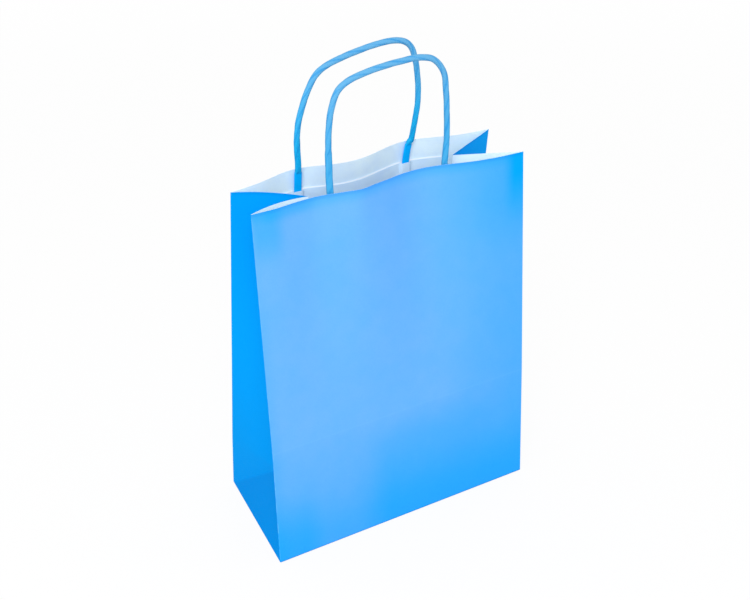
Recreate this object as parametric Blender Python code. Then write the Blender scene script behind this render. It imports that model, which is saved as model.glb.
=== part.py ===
"""Paper carrier bag with a block bottom, folded side gussets and two twisted paper handles.

The bag stands open on its bottom as it was unfolded by hand: the gussets hold the mouth half
closed and the rim is wavy.  Frame: origin in the middle of the bottom, X along the width,
Y along the depth with the front at -Y, Z up.  All lengths are in metres.
"""
import math
from collections import namedtuple

import bmesh
import bpy
from mathutils import Vector
from mathutils.geometry import interpolate_bezier

# The sheet, and the flaps that close the bottom
BAG_WIDTH = 0.220
BAG_DEPTH = 0.100
BAG_HEIGHT = 0.280
PAPER = 0.00016
SEAM_LAP = 0.018
FLAP_OVERLAP = 0.022

# How the opened bag stands: its mouth at each side, and how far the top corners have moved
MOUTH_LEFT = 0.0365
MOUTH_RIGHT = 0.0448
MOUTH_SHIFT_LEFT = -0.0007
MOUTH_SHIFT_RIGHT = 0.0048
TOP_INSET_LEFT = 0.0090
TOP_INSET_RIGHT = 0.0018
VALLEY_SHIFT_LEFT = -0.0039
VALLEY_SHIFT_RIGHT = 0.0025
GUSSET_BOW_LEFT = 0.0036

# How far each crease stands proud of the straight line from the bottom to the rim
CREASE_PUSH_FRONT_LEFT = 0.0028
CREASE_PUSH_FRONT_RIGHT = 0.0010
CREASE_PUSH_BACK = 0.0015

# Waves of the rim: the place of each along the width, its reach, and its push towards the back
FRONT_LEFT_WAVE = -0.062
FRONT_LEFT_WAVE_REACH = 0.022
FRONT_LEFT_WAVE_PUSH = 0.0055
FRONT_MIDDLE_WAVE = -0.027
FRONT_MIDDLE_WAVE_REACH = 0.010
FRONT_MIDDLE_WAVE_PUSH = -0.0018
FRONT_RIGHT_WAVE = 0.0265
FRONT_RIGHT_WAVE_REACH = 0.036
FRONT_RIGHT_WAVE_PUSH = 0.0141
BACK_LEFT_WAVE = -0.056
BACK_LEFT_WAVE_REACH = 0.029
BACK_LEFT_WAVE_PUSH = 0.0092
BACK_RIGHT_WAVE = 0.0385
BACK_RIGHT_WAVE_REACH = 0.034
BACK_RIGHT_WAVE_PUSH = 0.0114

# Each handle: a rope of twisted paper with its ends pressed flat
HANDLE_SPACING_FRONT = 0.0915
HANDLE_SPACING_BACK = 0.089
HANDLE_CENTRE_FRONT = 0.0029
HANDLE_CENTRE_BACK = -0.0039
HANDLE_RISE_FRONT = 0.0790
HANDLE_RISE_BACK = 0.0795
HANDLE_LEAN_FRONT = 0.002
HANDLE_LEAN_BACK = -0.005
END_SLANT_BACK_RIGHT = 0.0017
ROPE_DIAMETER = 0.0042
ROPE_GROOVE = 0.0003
ROPE_LOBES = 3
ROPE_TWIST = 0.036
ROPE_FLAT_WIDTH = 0.0054
ROPE_FLAT_THICKNESS = 0.0016
ROPE_PRESS_RUN = 0.005
ROPE_TURN_RUN = 0.020
PRESS_SQUARENESS = 0.5

# The two paper strips that hold the rope's ends, glued inside the panel
STRIP_PAPER = 0.0002
STRIP_DROP = 0.0155
STRIP_MARGIN = 0.029
STRIP_SHOULDER = 0.0022
ROPE_END_DEPTH = 0.038
STRIP_FOOT = 0.010
TOUCH_GAP = 0.0003
RIM_CLEARANCE = 0.0006

# Shape of each loop: share of the leg spacing, share of the rise
LOOP_FRONT = (
    (-0.003, 0.119), (-0.002, 0.248), (-0.001, 0.378), (0.008, 0.547), (0.032, 0.706), (0.082, 0.843),
    (0.154, 0.908), (0.282, 0.952), (0.444, 0.981), (0.607, 0.996), (0.758, 0.997), (0.879, 0.957),
    (0.967, 0.839), (0.994, 0.672), (1.008, 0.448), (1.013, 0.249), (1.004, 0.078),
)
LOOP_BACK = (
    (0.001, 0.080), (-0.005, 0.221), (-0.001, 0.360), (0.015, 0.469), (0.070, 0.657), (0.135, 0.798),
    (0.202, 0.868), (0.319, 0.917), (0.485, 0.958), (0.652, 0.985), (0.781, 0.991), (0.869, 0.978),
    (0.936, 0.942), (0.986, 0.873), (1.026, 0.735), (1.055, 0.540), (1.061, 0.359), (1.039, 0.158),
    (1.020, 0.024),
)

# Mesh density
PANEL_COLUMNS = 28
GUSSET_COLUMNS = 4
MIDDLE_ROWS = 2
HIGH_ROWS = 4
ROPE_SIDES = 12
ROPE_RING = 0.0036
CURVE_STEPS = 24
STRIP_COLUMN = 0.0075
STRIP_ROWS = 3
STEP_RUN = 0.00005
NUDGE = 0.001

BLUE_PAPER = (0.004, 0.33, 0.93)
BLUE_ROPE = (0.03, 0.36, 0.85)
WHITE_PAPER = (0.74, 0.80, 0.92)
BAG_ROUGHNESS = 0.45
ROPE_ROUGHNESS = 0.5
STRIP_ROUGHNESS = 0.7
BAG_SHARP_ANGLE = 12
ROPE_SHARP_ANGLE = 40
STRIP_SHARP_ANGLE = 30

FRONT = -1
BACK = 1
LEFT = -1
RIGHT = 1
HALF_WIDTH = BAG_WIDTH / 2
HALF_DEPTH = BAG_DEPTH / 2
FOLD_HEIGHT = HALF_DEPTH
IMPRINT_HEIGHT = BAG_DEPTH
FLAP_LENGTH = HALF_DEPTH + FLAP_OVERLAP / 2
FLOOR_TOP = 3 * PAPER
STRIP_BED = 2 * TOUCH_GAP + STRIP_PAPER
FRONT_WAVES = (
    (FRONT_LEFT_WAVE, FRONT_LEFT_WAVE_REACH, FRONT_LEFT_WAVE_PUSH),
    (FRONT_MIDDLE_WAVE, FRONT_MIDDLE_WAVE_REACH, FRONT_MIDDLE_WAVE_PUSH),
    (FRONT_RIGHT_WAVE, FRONT_RIGHT_WAVE_REACH, FRONT_RIGHT_WAVE_PUSH),
)
BACK_WAVES = (
    (BACK_LEFT_WAVE, BACK_LEFT_WAVE_REACH, BACK_LEFT_WAVE_PUSH),
    (BACK_RIGHT_WAVE, BACK_RIGHT_WAVE_REACH, BACK_RIGHT_WAVE_PUSH),
)

Column = namedtuple("Column", "place foot lift")


def clear_scene():
    for old in list(bpy.data.objects):
        bpy.data.objects.remove(old, do_unlink=True)


def mix(a, b, share):
    return a + (b - a) * share


def ease(share):
    share = min(max(share, 0.0), 1.0)
    return share * share * (3 - 2 * share)


def paper_material(name, colour, roughness):
    material = bpy.data.materials.new(name)
    material.use_nodes = True
    shader = material.node_tree.nodes["Principled BSDF"]
    shader.inputs["Base Color"].default_value = (*colour, 1.0)
    shader.inputs["Roughness"].default_value = roughness
    shader.inputs["Metallic"].default_value = 0.0
    return material


def add_object(name, bm, material, smooth_angle):
    mesh = bpy.data.meshes.new(name)
    bmesh.ops.recalc_face_normals(bm, faces=bm.faces)
    bm.to_mesh(mesh)
    bm.free()
    mesh.materials.append(material)
    mesh.shade_smooth()
    mesh.set_sharp_from_angle(angle=math.radians(smooth_angle))
    thing = bpy.data.objects.new(name, mesh)
    bpy.context.collection.objects.link(thing)


# Where the sheet goes.  Heights are measured along the paper, from the bottom fold up.


def edge_x(side, height):
    """The folded edges lean inwards a little on their way up."""
    inset = TOP_INSET_LEFT if side == LEFT else TOP_INSET_RIGHT
    return side * (HALF_WIDTH - inset * height / BAG_HEIGHT)


def top_y(face, side):
    if side == LEFT:
        return face * MOUTH_LEFT / 2 + MOUTH_SHIFT_LEFT
    return face * MOUTH_RIGHT / 2 + MOUTH_SHIFT_RIGHT


def crease_height(face):
    """The front keeps the imprint of the folded-up bottom, the back the fold itself."""
    return IMPRINT_HEIGHT if face == FRONT else FOLD_HEIGHT


def crease_y(face, side):
    straight = mix(face * HALF_DEPTH, top_y(face, side), crease_height(face) / BAG_HEIGHT)
    if face == BACK:
        return straight + CREASE_PUSH_BACK
    return straight - (CREASE_PUSH_FRONT_LEFT if side == LEFT else CREASE_PUSH_FRONT_RIGHT)


def rim_wave(face, share):
    """Push of the rim towards the back, taken off so that both corners stay in place."""
    waves = FRONT_WAVES if face == FRONT else BACK_WAVES

    def raw(x):
        return sum(push * math.exp(-(((x - place) / reach) ** 2)) for place, reach, push in waves)

    return raw(mix(-HALF_WIDTH, HALF_WIDTH, share)) - mix(raw(-HALF_WIDTH), raw(HALF_WIDTH), share)


def panel_point(face, share, height):
    """A point of the front or back panel; share is 0 at its left edge and 1 at its right."""
    bend = crease_height(face)
    foot = face * HALF_DEPTH
    waist = mix(crease_y(face, LEFT), crease_y(face, RIGHT), share)
    rim = mix(top_y(face, LEFT), top_y(face, RIGHT), share) + rim_wave(face, share)
    waist_z = math.sqrt(bend**2 - (waist - foot) ** 2)
    x = mix(edge_x(LEFT, height), edge_x(RIGHT, height), share)
    if height <= bend:
        part = height / bend
        return Vector((x, mix(foot, waist, part), waist_z * part))
    rim_rise = math.sqrt((BAG_HEIGHT - bend) ** 2 - (rim - waist) ** 2)
    part = (height - bend) / (BAG_HEIGHT - bend)
    return Vector((x, mix(waist, rim, part), waist_z + rim_rise * part))


def folded_edge(face, side, height):
    return panel_point(face, 0.0 if side == LEFT else 1.0, height)


def valley_depth(side, height):
    """Each half of a gusset keeps its width: the closer its edges, the deeper it folds in."""
    gap = folded_edge(BACK, side, height).y - folded_edge(FRONT, side, height).y
    return math.sqrt(HALF_DEPTH**2 - (gap / 2) ** 2)


def middle_y(side, height):
    return (folded_edge(FRONT, side, height).y + folded_edge(BACK, side, height).y) / 2


def apex(side):
    """The point where a gusset's two diagonal creases and its middle crease meet."""
    depth = valley_depth(side, FOLD_HEIGHT)
    rise = math.sqrt(FOLD_HEIGHT**2 - depth**2)
    return Vector((edge_x(side, FOLD_HEIGHT) - side * depth, middle_y(side, FOLD_HEIGHT), rise))


def valley(side, height):
    """The middle crease of a gusset, above its apex."""
    part = (height - FOLD_HEIGHT) / (BAG_HEIGHT - FOLD_HEIGHT)
    run = valley_depth(side, BAG_HEIGHT) - valley_depth(side, FOLD_HEIGHT)
    rise = math.sqrt((BAG_HEIGHT - FOLD_HEIGHT) ** 2 - run**2)
    shift = (VALLEY_SHIFT_LEFT if side == LEFT else VALLEY_SHIFT_RIGHT) * part
    x = edge_x(side, height) - side * valley_depth(side, height)
    return Vector((x, middle_y(side, height) + shift, apex(side).z + rise * part))


def gusset_point(side, run, height):
    """A point of a side gusset; run is 0 at its front edge and BAG_DEPTH at its back edge."""
    face = FRONT if run < HALF_DEPTH else BACK
    inward = run if face == FRONT else BAG_DEPTH - run
    tip = apex(side)
    if height <= inward and height < FOLD_HEIGHT:
        foot = Vector((side * HALF_WIDTH, run - HALF_DEPTH, 0.0))
        middle = Vector((side * HALF_WIDTH, 0.0, 0.0))
        return foot + (tip - middle) * (height / FOLD_HEIGHT)
    edge = folded_edge(face, side, height)
    if height < FOLD_HEIGHT:
        corner = Vector((side * HALF_WIDTH, face * HALF_DEPTH, 0.0))
        diagonal = corner.lerp(tip, height / FOLD_HEIGHT)
        return edge.lerp(diagonal, inward / height)
    share = inward / HALF_DEPTH
    point = edge.lerp(valley(side, height), share)
    if side == LEFT:
        part = (height - FOLD_HEIGHT) / (BAG_HEIGHT - FOLD_HEIGHT)
        point.y += GUSSET_BOW_LEFT * part * 4 * share * (1 - share)
    return point


# The bag: one sheet, with an outer and an inner skin that are joined at the rim


def panel_shares(face):
    """Places of a panel's columns: even steps, the end flaps' edges, and the back's glued seam."""
    step = 1 / PANEL_COLUMNS
    flap = FLAP_LENGTH / BAG_WIDTH
    lap = SEAM_LAP / BAG_WIDTH
    hair = STEP_RUN / BAG_WIDTH
    fixed = [0.0, flap, 1 - flap, 1.0]
    if face == BACK:
        fixed += [hair, lap / 2, lap, lap + hair]
    even = [i * step for i in range(1, PANEL_COLUMNS)]
    clear = [share for share in even if min(abs(share - other) for other in fixed) > step / 3]
    return sorted(fixed + clear)


def seam_lift(share):
    """The glued lap lies on the back panel as a second thickness of paper."""
    run = share * BAG_WIDTH
    return PAPER if 0 < run < SEAM_LAP + STEP_RUN / 2 else 0.0


def columns():
    """The bag's columns once round: front, right gusset, back, left gusset."""
    runs = [i * HALF_DEPTH / GUSSET_COLUMNS for i in range(2 * GUSSET_COLUMNS + 1)]
    ring = []
    for share in panel_shares(FRONT):
        ring.append(Column(lambda h, s=share: panel_point(FRONT, s, h), 0.0, 0.0))
    for run in runs[1:-1]:
        ring.append(Column(lambda h, r=run: gusset_point(RIGHT, r, h), 2 * PAPER, 0.0))
    for share in reversed(panel_shares(BACK)):
        ring.append(Column(lambda h, s=share: panel_point(BACK, s, h), PAPER, seam_lift(share)))
    for run in reversed(runs[1:-1]):
        ring.append(Column(lambda h, r=run: gusset_point(LEFT, r, h), 2 * PAPER, 0.0))
    return ring


def row_heights():
    low = [FOLD_HEIGHT * i / GUSSET_COLUMNS for i in range(GUSSET_COLUMNS + 1)]
    middle = [mix(FOLD_HEIGHT, IMPRINT_HEIGHT, (i + 1) / MIDDLE_ROWS) for i in range(MIDDLE_ROWS)]
    high = [mix(IMPRINT_HEIGHT, BAG_HEIGHT, (i + 1) / HIGH_ROWS) for i in range(HIGH_ROWS)]
    return low + middle + high


def wall_normals(ring, heights):
    """Outward offset for each point of the wall, lengthened where the sheet is creased."""
    bm = bmesh.new()
    grid = [[bm.verts.new(column.place(height)) for column in ring] for height in heights]
    for row in range(len(heights) - 1):
        for i in range(len(ring)):
            j = (i + 1) % len(ring)
            bm.faces.new((grid[row][i], grid[row][j], grid[row + 1][j], grid[row + 1][i]))
    bm.normal_update()
    normals = [[vert.normal * vert.calc_shell_factor() for vert in line] for line in grid]
    bm.free()
    return normals


def add_wall(bm, grid, creased):
    """Faces between the rows of a skin; the cells on a diagonal crease are cut along it."""
    count = len(grid[0])
    for row in range(len(grid) - 1):
        for i in range(count):
            j = (i + 1) % count
            low, low_next = grid[row][i], grid[row][j]
            high, high_next = grid[row + 1][i], grid[row + 1][j]
            if (i, row) in creased["rising"]:
                bm.faces.new((low, low_next, high_next))
                bm.faces.new((low, high_next, high))
            elif (i, row) in creased["falling"]:
                bm.faces.new((low, low_next, high))
                bm.faces.new((low_next, high_next, high))
            else:
                bm.faces.new((low, low_next, high_next, high))


def creased_cells(right_start, left_start):
    """Cells that the diagonal creases of both gussets cross, from corner to corner."""
    cells = {"rising": set(), "falling": set()}
    for start in (right_start, left_start):
        for i in range(GUSSET_COLUMNS):
            cells["rising"].add((start + i, i))
            cells["falling"].add((start + 2 * GUSSET_COLUMNS - 1 - i, i))
    return cells


def add_underside(bm, foot, corners):
    """The bottom from outside: front flap lowest, back flap under it, end triangles under both."""
    front_left, front_right, back_right, back_left = corners
    end_x = HALF_WIDTH - HALF_DEPTH
    tab_x = HALF_WIDTH - FLAP_LENGTH
    cross = {}
    tab = {}
    for side in (LEFT, RIGHT):
        cross[side] = [bm.verts.new((side * end_x, 0.0, k * PAPER)) for k in range(3)]
        tab[side] = [bm.verts.new((side * tab_x, FLAP_OVERLAP / 2, k * PAPER)) for k in range(2)]
    front = foot[front_left:front_right + 1]
    right = foot[front_right:back_right + 1]
    back = foot[back_right:back_left + 1]
    left = foot[back_left:] + foot[:1]
    bm.faces.new(front + [cross[RIGHT][0], tab[RIGHT][0], tab[LEFT][0], cross[LEFT][0]])
    bm.faces.new(back + [cross[LEFT][1], tab[LEFT][1], tab[RIGHT][1], cross[RIGHT][1]])
    bm.faces.new(right + [cross[RIGHT][2]])
    bm.faces.new(left + [cross[LEFT][2]])
    bm.faces.new((tab[LEFT][0], tab[RIGHT][0], tab[RIGHT][1], tab[LEFT][1]))
    for side, front_corner, back_corner in ((LEFT, front[0], back[-1]), (RIGHT, front[-1], back[0])):
        bm.faces.new([front_corner] + cross[side])
        bm.faces.new((cross[side][0], tab[side][0], tab[side][1], cross[side][1]))
        bm.faces.new((cross[side][1], back_corner, cross[side][2]))


def add_floor(bm, foot, front_flaps, back_flaps):
    """The bottom from inside: both end flaps on top, and the long flaps' lap between them."""
    front_left, front_right = front_flaps
    back_right, back_left = back_flaps
    lap_y = -FLAP_OVERLAP / 2
    stairs = {}
    for side, index in ((LEFT, front_left), (RIGHT, front_right)):
        x = foot[index].co.x
        stairs[side] = [bm.verts.new((x, lap_y, level * PAPER)) for level in (1, 2, 3)]

    def lowered(verts, level):
        return [bm.verts.new((v.co.x, v.co.y, level * PAPER)) for v in verts]

    front = foot[front_left:front_right + 1]
    back = foot[back_right:back_left + 1]
    front_low = lowered(front, 1)
    back_low = lowered(back, 2)
    bm.faces.new(foot[front_right:back_right + 1] + [stairs[RIGHT][2]])
    bm.faces.new(foot[back_left:] + foot[:front_left + 1] + [stairs[LEFT][2]])
    bm.faces.new(front_low + [stairs[RIGHT][0], stairs[LEFT][0]])
    bm.faces.new(back_low + [stairs[LEFT][1], stairs[RIGHT][1]])
    bm.faces.new((stairs[LEFT][0], stairs[RIGHT][0], stairs[RIGHT][1], stairs[LEFT][1]))
    for high, low in ((front, front_low), (back, back_low)):
        for i in range(len(high) - 1):
            bm.faces.new((high[i], high[i + 1], low[i + 1], low[i]))
    for side, near, far in ((LEFT, 0, -1), (RIGHT, -1, 0)):
        bm.faces.new([front_low[near]] + stairs[side] + [front[near]])
        bm.faces.new((back_low[far], stairs[side][1], stairs[side][2], back[far]))


def bag():
    ring = columns()
    heights = row_heights()
    normals = wall_normals(ring, heights)
    front_shares = panel_shares(FRONT)
    back_shares = panel_shares(BACK)[::-1]
    front_right = len(front_shares) - 1
    back_right = front_right + 2 * GUSSET_COLUMNS
    back_left = back_right + len(back_shares) - 1
    creased = creased_cells(front_right, back_left)
    bm = bmesh.new()
    outer = []
    inner = []
    for height, offsets in zip(heights, normals):
        outer_row = []
        inner_row = []
        for column, offset in zip(ring, offsets):
            point = column.place(height) + offset.normalized() * column.lift
            if height == 0:
                point.z = column.foot
            outer_row.append(bm.verts.new(point))
            point = column.place(max(height, FLOOR_TOP)) - offset * PAPER
            if height == 0:
                point.z = FLOOR_TOP
            inner_row.append(bm.verts.new(point))
        outer.append(outer_row)
        inner.append(inner_row)
    add_wall(bm, outer, creased)
    add_wall(bm, inner, creased)
    for i in range(len(ring)):
        j = (i + 1) % len(ring)
        bm.faces.new((outer[-1][i], outer[-1][j], inner[-1][j], inner[-1][i]))
    add_underside(bm, outer[0], (0, front_right, back_right, back_left))
    flap = FLAP_LENGTH / BAG_WIDTH
    front_flaps = (front_shares.index(flap), front_shares.index(1 - flap))
    back_flaps = (back_right + back_shares.index(1 - flap), back_right + back_shares.index(flap))
    add_floor(bm, inner[0], front_flaps, back_flaps)
    add_object("bag", bm, paper_material("blue_paper", BLUE_PAPER, BAG_ROUGHNESS), BAG_SHARP_ANGLE)


# The handles


def inside_point(face, x, drop, lift):
    """A point over a panel's inner face: place along the width, depth below the rim, distance."""
    height = BAG_HEIGHT - drop
    share = (x - edge_x(LEFT, height)) / (edge_x(RIGHT, height) - edge_x(LEFT, height))
    along = panel_point(face, share + NUDGE, height) - panel_point(face, share - NUDGE, height)
    up = panel_point(face, share, height) - panel_point(face, share, height - NUDGE)
    normal = along.cross(up).normalized()
    if normal.y * face > 0:
        normal.negate()
    return panel_point(face, share, height) + normal * (PAPER + lift)


def panel_facing(face, x, drop):
    """Direction square to the panel, on whichever side points to the back of the bag."""
    return (inside_point(face, x, drop, NUDGE) - inside_point(face, x, drop, 0.0)).normalized() * -face


def handle_legs(face):
    """Places along the width of the two ends that the strips hold."""
    centre = HANDLE_CENTRE_FRONT if face == FRONT else HANDLE_CENTRE_BACK
    spacing = HANDLE_SPACING_FRONT if face == FRONT else HANDLE_SPACING_BACK
    return centre - spacing / 2, centre + spacing / 2


def rope_route(face):
    """Points of the rope's middle line, from one pressed end over the loop to the other."""
    flat_lift = STRIP_BED + ROPE_FLAT_THICKNESS / 2
    round_lift = ROPE_DIAMETER / 2 + RIM_CLEARANCE
    left_x, right_x = handle_legs(face)
    drops = (STRIP_DROP + ROPE_END_DEPTH, STRIP_DROP + ROPE_END_DEPTH / 2, STRIP_DROP)

    def foot(x, slant):
        pressed = [inside_point(face, x, drop, flat_lift) for drop in drops]
        return pressed + [inside_point(face, x + slant, 0.0, round_lift)]

    left = foot(left_x, 0.0)
    right = foot(right_x, END_SLANT_BACK_RIGHT if face == BACK else 0.0)
    rise = HANDLE_RISE_FRONT if face == FRONT else HANDLE_RISE_BACK
    lean = HANDLE_LEAN_FRONT if face == FRONT else HANDLE_LEAN_BACK
    loop = []
    for across, up in LOOP_FRONT if face == FRONT else LOOP_BACK:
        base = left[-1].lerp(right[-1], across)
        loop.append(base + Vector((0.0, lean * up, rise * up)))
    return left + loop + right[::-1]


def smooth_line(points, spacing):
    """Even steps along a smooth curve through the points."""
    count = len(points)
    headings = [points[min(i + 1, count - 1)] - points[max(i - 1, 0)] for i in range(count)]
    dense = []
    for i in range(count - 1):
        reach = (points[i + 1] - points[i]).length / 3
        start = points[i] + headings[i].normalized() * reach
        end = points[i + 1] - headings[i + 1].normalized() * reach
        dense += interpolate_bezier(points[i], start, end, points[i + 1], CURVE_STEPS)[:-1]
    dense.append(points[-1])
    lengths = [0.0]
    for a, b in zip(dense, dense[1:]):
        lengths.append(lengths[-1] + (b - a).length)
    steps = round(lengths[-1] / spacing)
    even = []
    k = 0
    for i in range(steps + 1):
        target = lengths[-1] * i / steps
        while k < len(dense) - 2 and lengths[k + 1] < target:
            k += 1
        even.append(dense[k].lerp(dense[k + 1], (target - lengths[k]) / (lengths[k + 1] - lengths[k])))
    return even


def rope_section(turn, pressed):
    """One cross-section: lobes of the twisted paper, or the flat shape of a pressed end."""
    points = []
    for i in range(ROPE_SIDES):
        angle = 2 * math.pi * i / ROPE_SIDES
        radius = ROPE_DIAMETER / 2 - ROPE_GROOVE * (0.5 - 0.5 * math.cos(ROPE_LOBES * (angle - turn)))
        across = math.cos(angle)
        outward = math.sin(angle)
        flat_across = math.copysign(abs(across) ** PRESS_SQUARENESS, across) * ROPE_FLAT_WIDTH / 2
        flat_outward = math.copysign(abs(outward) ** PRESS_SQUARENESS, outward) * ROPE_FLAT_THICKNESS / 2
        x = mix(radius * across, flat_across, pressed)
        points.append((x, mix(radius * outward, flat_outward, pressed)))
    return points


def handle(face, name):
    """The rope, round in the loop and pressed flat from just below the rim to its ends."""
    line = smooth_line(rope_route(face), ROPE_RING)
    spacing = (line[1] - line[0]).length
    foot = STRIP_DROP + ROPE_END_DEPTH
    bm = bmesh.new()
    rings = []
    for i, centre in enumerate(line):
        near_left = i < len(line) / 2
        past_foot = min(i, len(line) - 1 - i) * spacing - foot
        pressed = 1 - ease(past_foot / ROPE_PRESS_RUN + 1)
        heading = (line[min(i + 1, len(line) - 1)] - line[max(i - 1, 0)]).normalized()
        facing = panel_facing(face, handle_legs(face)[0 if near_left else 1], max(-past_foot, 0.0))
        facing = facing.lerp(Vector((0.0, 1.0, 0.0)), ease(past_foot / ROPE_TURN_RUN))
        across = facing.cross(heading).normalized()
        outward = heading.cross(across)
        section = rope_section(2 * math.pi * i * spacing / ROPE_TWIST, pressed)
        rings.append([bm.verts.new(centre + across * a + outward * b) for a, b in section])
    for ring, after in zip(rings, rings[1:]):
        for i in range(ROPE_SIDES):
            j = (i + 1) % ROPE_SIDES
            bm.faces.new((ring[i], ring[j], after[j], after[i]))
    bm.faces.new(rings[0][::-1])
    bm.faces.new(rings[-1])
    add_object(name, bm, paper_material(name, BLUE_ROPE, ROPE_ROUGHNESS), ROPE_SHARP_ANGLE)


def strip_places(face):
    """Columns across a strip, closer together where the cover rises over a rope's end."""
    legs = handle_legs(face)
    bump = ROPE_FLAT_WIDTH / 2 + TOUCH_GAP
    fixed = [legs[0] - STRIP_MARGIN, legs[1] + STRIP_MARGIN]
    for leg in legs:
        for offset in (0, bump, bump + STRIP_SHOULDER / 2, bump + STRIP_SHOULDER):
            fixed += {leg - offset, leg + offset}
    count = round((fixed[1] - fixed[0]) / STRIP_COLUMN)
    even = [mix(fixed[0], fixed[1], i / count) for i in range(1, count)]
    clear = [x for x in even if min(abs(x - other) for other in fixed) > STRIP_COLUMN / 3]
    return sorted(fixed + clear)


def strip_drops():
    end = STRIP_DROP + ROPE_END_DEPTH
    bump = end + TOUCH_GAP
    middle = [mix(STRIP_DROP, end, (i + 1) / STRIP_ROWS) for i in range(STRIP_ROWS - 1)]
    return [STRIP_DROP] + middle + [bump, bump + STRIP_SHOULDER / 2, bump + STRIP_SHOULDER, end + STRIP_FOOT]


def cover_bump(face, x, drop):
    """How far the cover stands off to pass over the rope's pressed ends."""
    beside = min(abs(x - leg) for leg in handle_legs(face)) - ROPE_FLAT_WIDTH / 2 - TOUCH_GAP
    below = drop - STRIP_DROP - ROPE_END_DEPTH - TOUCH_GAP
    near = (1 - ease(beside / STRIP_SHOULDER)) * (1 - ease(below / STRIP_SHOULDER))
    return near * (ROPE_FLAT_THICKNESS + TOUCH_GAP)


def strip(face, name, covers_rope):
    """A paper strip along the panel's inner face: the backing, or the cover over the rope."""
    places = strip_places(face)
    drops = strip_drops()
    bm = bmesh.new()
    skins = []
    for thickness in (0.0, STRIP_PAPER):
        skin = []
        for drop in drops:
            row = []
            for x in places:
                lift = STRIP_BED + cover_bump(face, x, drop) if covers_rope else TOUCH_GAP
                row.append(bm.verts.new(inside_point(face, x, drop, lift + thickness)))
            skin.append(row)
        skins.append(skin)
    under, over = skins
    rows = len(drops)
    count = len(places)
    for skin in skins:
        for r in range(rows - 1):
            for c in range(count - 1):
                bm.faces.new((skin[r][c], skin[r][c + 1], skin[r + 1][c + 1], skin[r + 1][c]))
    for c in range(count - 1):
        for r in (0, rows - 1):
            bm.faces.new((under[r][c], under[r][c + 1], over[r][c + 1], over[r][c]))
    for r in range(rows - 1):
        for c in (0, count - 1):
            bm.faces.new((under[r][c], under[r + 1][c], over[r + 1][c], over[r][c]))
    add_object(name, bm, paper_material(name, WHITE_PAPER, STRIP_ROUGHNESS), STRIP_SHARP_ANGLE)


def build():
    clear_scene()
    bag()
    for face, place in ((FRONT, "front"), (BACK, "back")):
        strip(face, "backing_strip_" + place, False)
        handle(face, "handle_" + place)
        strip(face, "cover_strip_" + place, True)


build()
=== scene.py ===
"""Looks of the paper carrier bag: the folded sheet, its two twisted handles and their strips.

Frame and sizes are the CAD model's: metres, +Z up, the front panel at -Y.  Every piece is built
again with finer folds, twists and edges, in the place of the plain solid that it stands for.
"""

import math

import bmesh
import bpy
from mathutils import Matrix, Vector, noise
from mathutils.geometry import interpolate_bezier


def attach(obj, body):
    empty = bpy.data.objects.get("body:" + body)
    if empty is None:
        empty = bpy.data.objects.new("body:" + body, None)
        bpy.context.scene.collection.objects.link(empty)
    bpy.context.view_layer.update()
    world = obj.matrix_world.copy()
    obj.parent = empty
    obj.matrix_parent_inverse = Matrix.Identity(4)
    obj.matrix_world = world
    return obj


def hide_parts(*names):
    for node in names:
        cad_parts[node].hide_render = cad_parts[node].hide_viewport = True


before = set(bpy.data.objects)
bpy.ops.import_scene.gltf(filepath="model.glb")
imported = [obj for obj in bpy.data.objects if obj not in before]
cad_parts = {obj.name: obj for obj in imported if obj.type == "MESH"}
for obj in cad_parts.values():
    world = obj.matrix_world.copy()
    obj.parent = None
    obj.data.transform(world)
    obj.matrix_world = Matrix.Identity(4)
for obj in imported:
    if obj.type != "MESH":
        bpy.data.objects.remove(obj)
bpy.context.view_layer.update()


def srgb(red, green, blue):
    """A colour written as on a screen, turned into the linear values that shaders take."""
    values = [channel / 255 for channel in (red, green, blue)]
    linear = [v / 12.92 if v <= 0.04045 else ((v + 0.055) / 1.055) ** 2.4 for v in values]
    return (*linear, 1.0)


FRONT = -1
BACK = 1
LEFT = -1
RIGHT = 1

# The sheet, as in the CAD model
BAG_WIDTH = 0.220
BAG_DEPTH = 0.100
BAG_HEIGHT = 0.280
PAPER = 0.00016
SEAM_LAP = 0.018
FLAP_OVERLAP = 0.022
MOUTH_LEFT = 0.0365
MOUTH_RIGHT = 0.0448
MOUTH_SHIFT_LEFT = -0.0007
MOUTH_SHIFT_RIGHT = 0.0048
TOP_INSET_LEFT = 0.0090
TOP_INSET_RIGHT = 0.0018
VALLEY_SHIFT_LEFT = -0.0039
VALLEY_SHIFT_RIGHT = 0.0025
GUSSET_BOW_LEFT = 0.0036
CREASE_PUSH_FRONT_LEFT = 0.0028
CREASE_PUSH_FRONT_RIGHT = 0.0010
CREASE_PUSH_BACK = 0.0015

# Each wave of the rim: its place along the width, its reach and its push towards the back
FRONT_SMALL_WAVE = (-0.027, 0.010, -0.0018)
FRONT_WAVES = ((-0.062, 0.022, 0.0055), FRONT_SMALL_WAVE, (0.0265, 0.036, 0.0141))
BACK_WAVES = ((-0.056, 0.029, 0.0092), (0.0385, 0.034, 0.0114))

HALF_WIDTH = BAG_WIDTH / 2
HALF_DEPTH = BAG_DEPTH / 2
FOLD_HEIGHT = HALF_DEPTH
IMPRINT_HEIGHT = BAG_DEPTH
FLAP_LENGTH = HALF_DEPTH + FLAP_OVERLAP / 2
FLOOR_TOP = 3 * PAPER

# Where each face of the sheet ends on the way round it, from the front left edge
FRONT_END = BAG_WIDTH
RIGHT_END = BAG_WIDTH + BAG_DEPTH
BACK_END = 2 * BAG_WIDTH + BAG_DEPTH
ROUND = 2 * BAG_WIDTH + 2 * BAG_DEPTH
FOLDS = (0.0, FRONT_END, FRONT_END + HALF_DEPTH, RIGHT_END, BACK_END, BACK_END + HALF_DEPTH, ROUND)

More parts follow.
